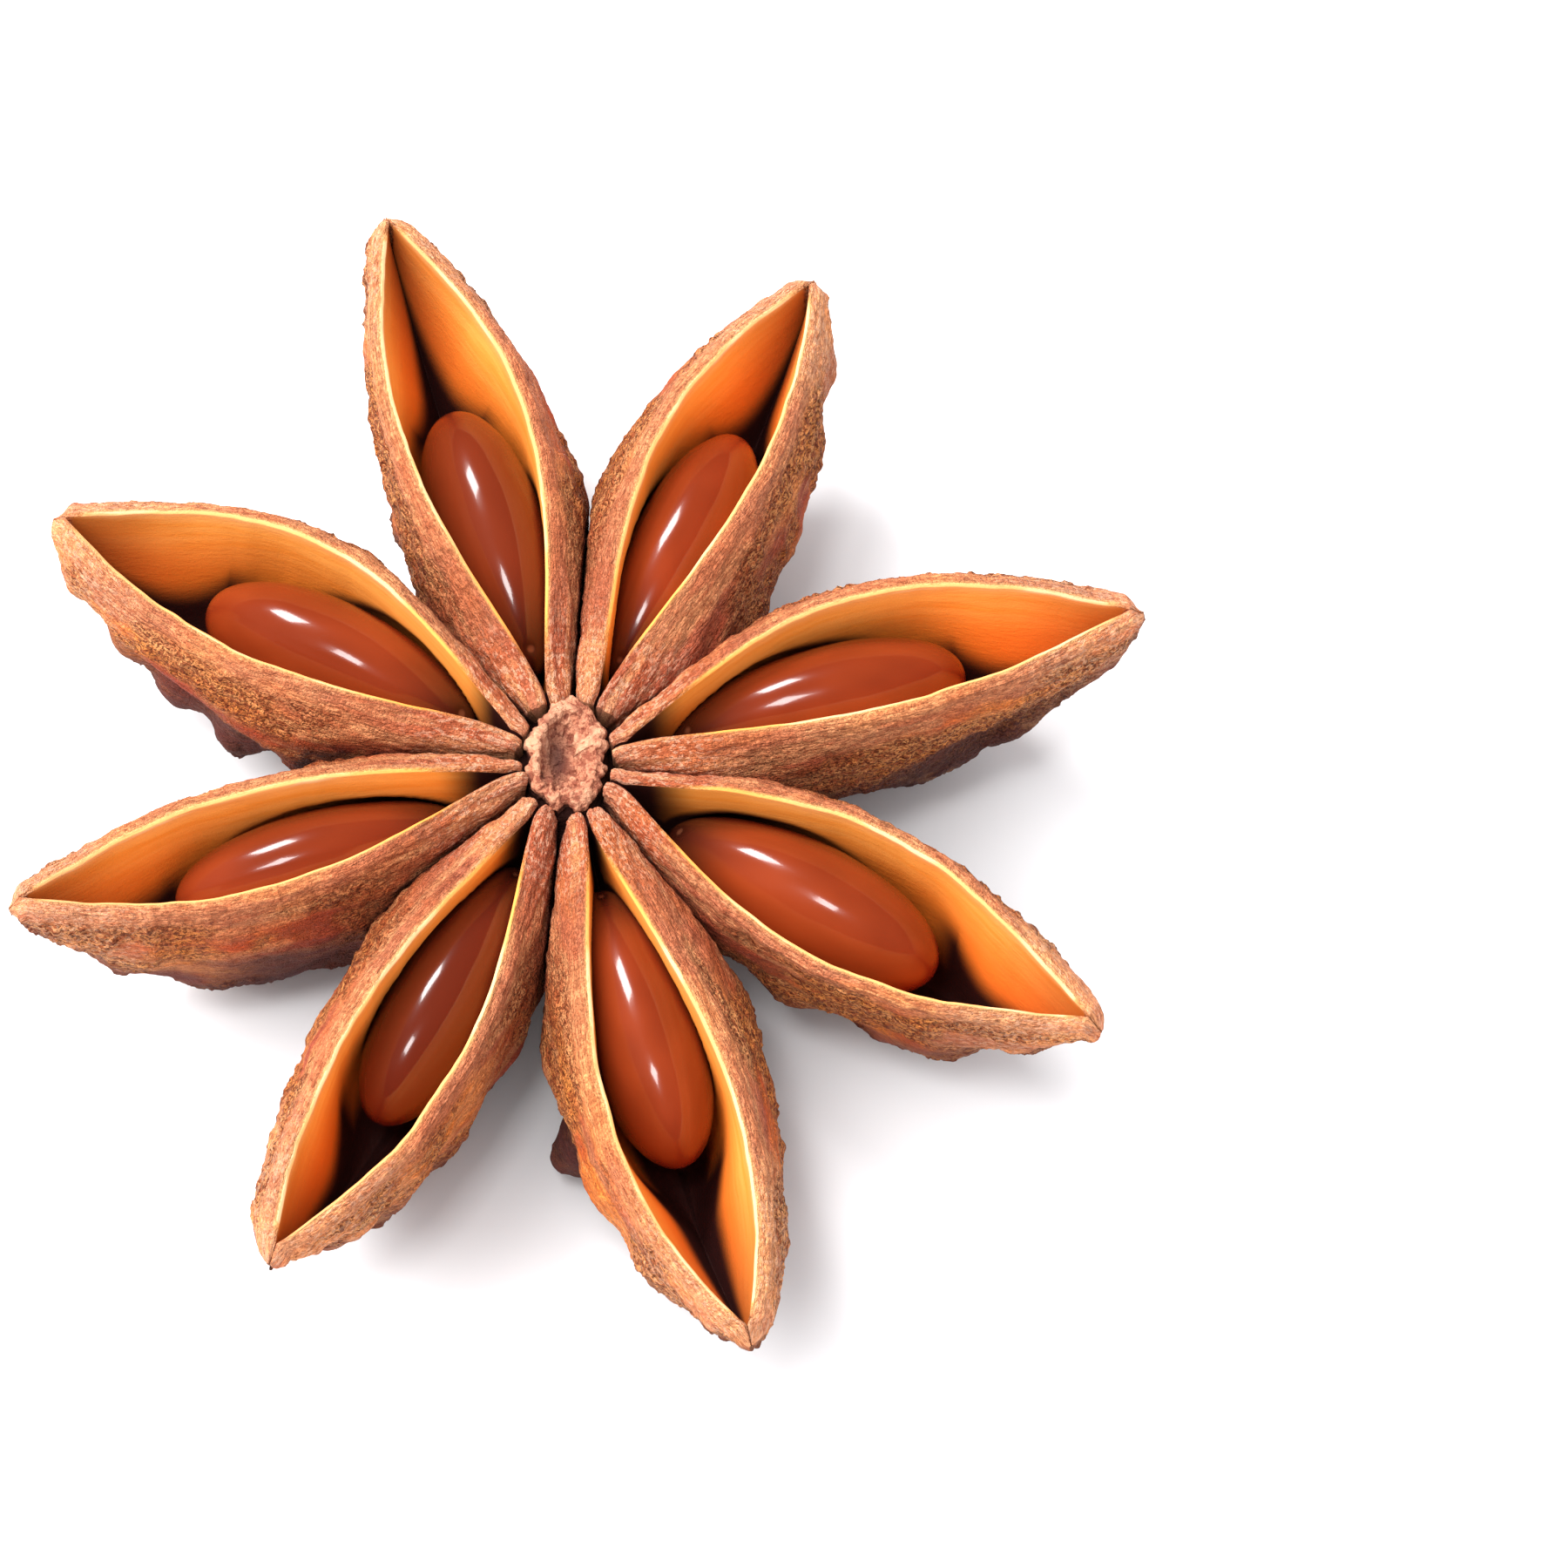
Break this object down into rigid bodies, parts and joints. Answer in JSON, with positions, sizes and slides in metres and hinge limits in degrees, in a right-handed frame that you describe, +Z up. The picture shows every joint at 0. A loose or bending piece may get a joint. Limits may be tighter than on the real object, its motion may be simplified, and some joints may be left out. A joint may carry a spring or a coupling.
{
  "type": "star anise pod",
  "caption": "Dried star anise fruit lying open side up: boat-shaped woody carpels fused round a short column, each split along its top over a glossy oval seed.",
  "frame": {"origin": "middle of the stalk scar, on the plane the fruit rests on", "axes": "+Z up through the column, out of the open side; X and Y in the resting plane, with the carpels numbered anticlockwise from the one just left of +X as seen from above"},
  "size_m": [0.0326, 0.0357, 0.0078],
  "materials": {
    "husk": "rough, dry, pitted bark-like skin with smoother inner walls",
    "seed": "polished"
  },
  "bodies": {
    "root": {"husk": "husk", "seed_1": "seed", "seed_2": "seed", "seed_3": "seed", "seed_4": "seed", "seed_5": "seed", "seed_6": "seed", "seed_7": "seed", "seed_8": "seed"}
  },
  "joints": []
}
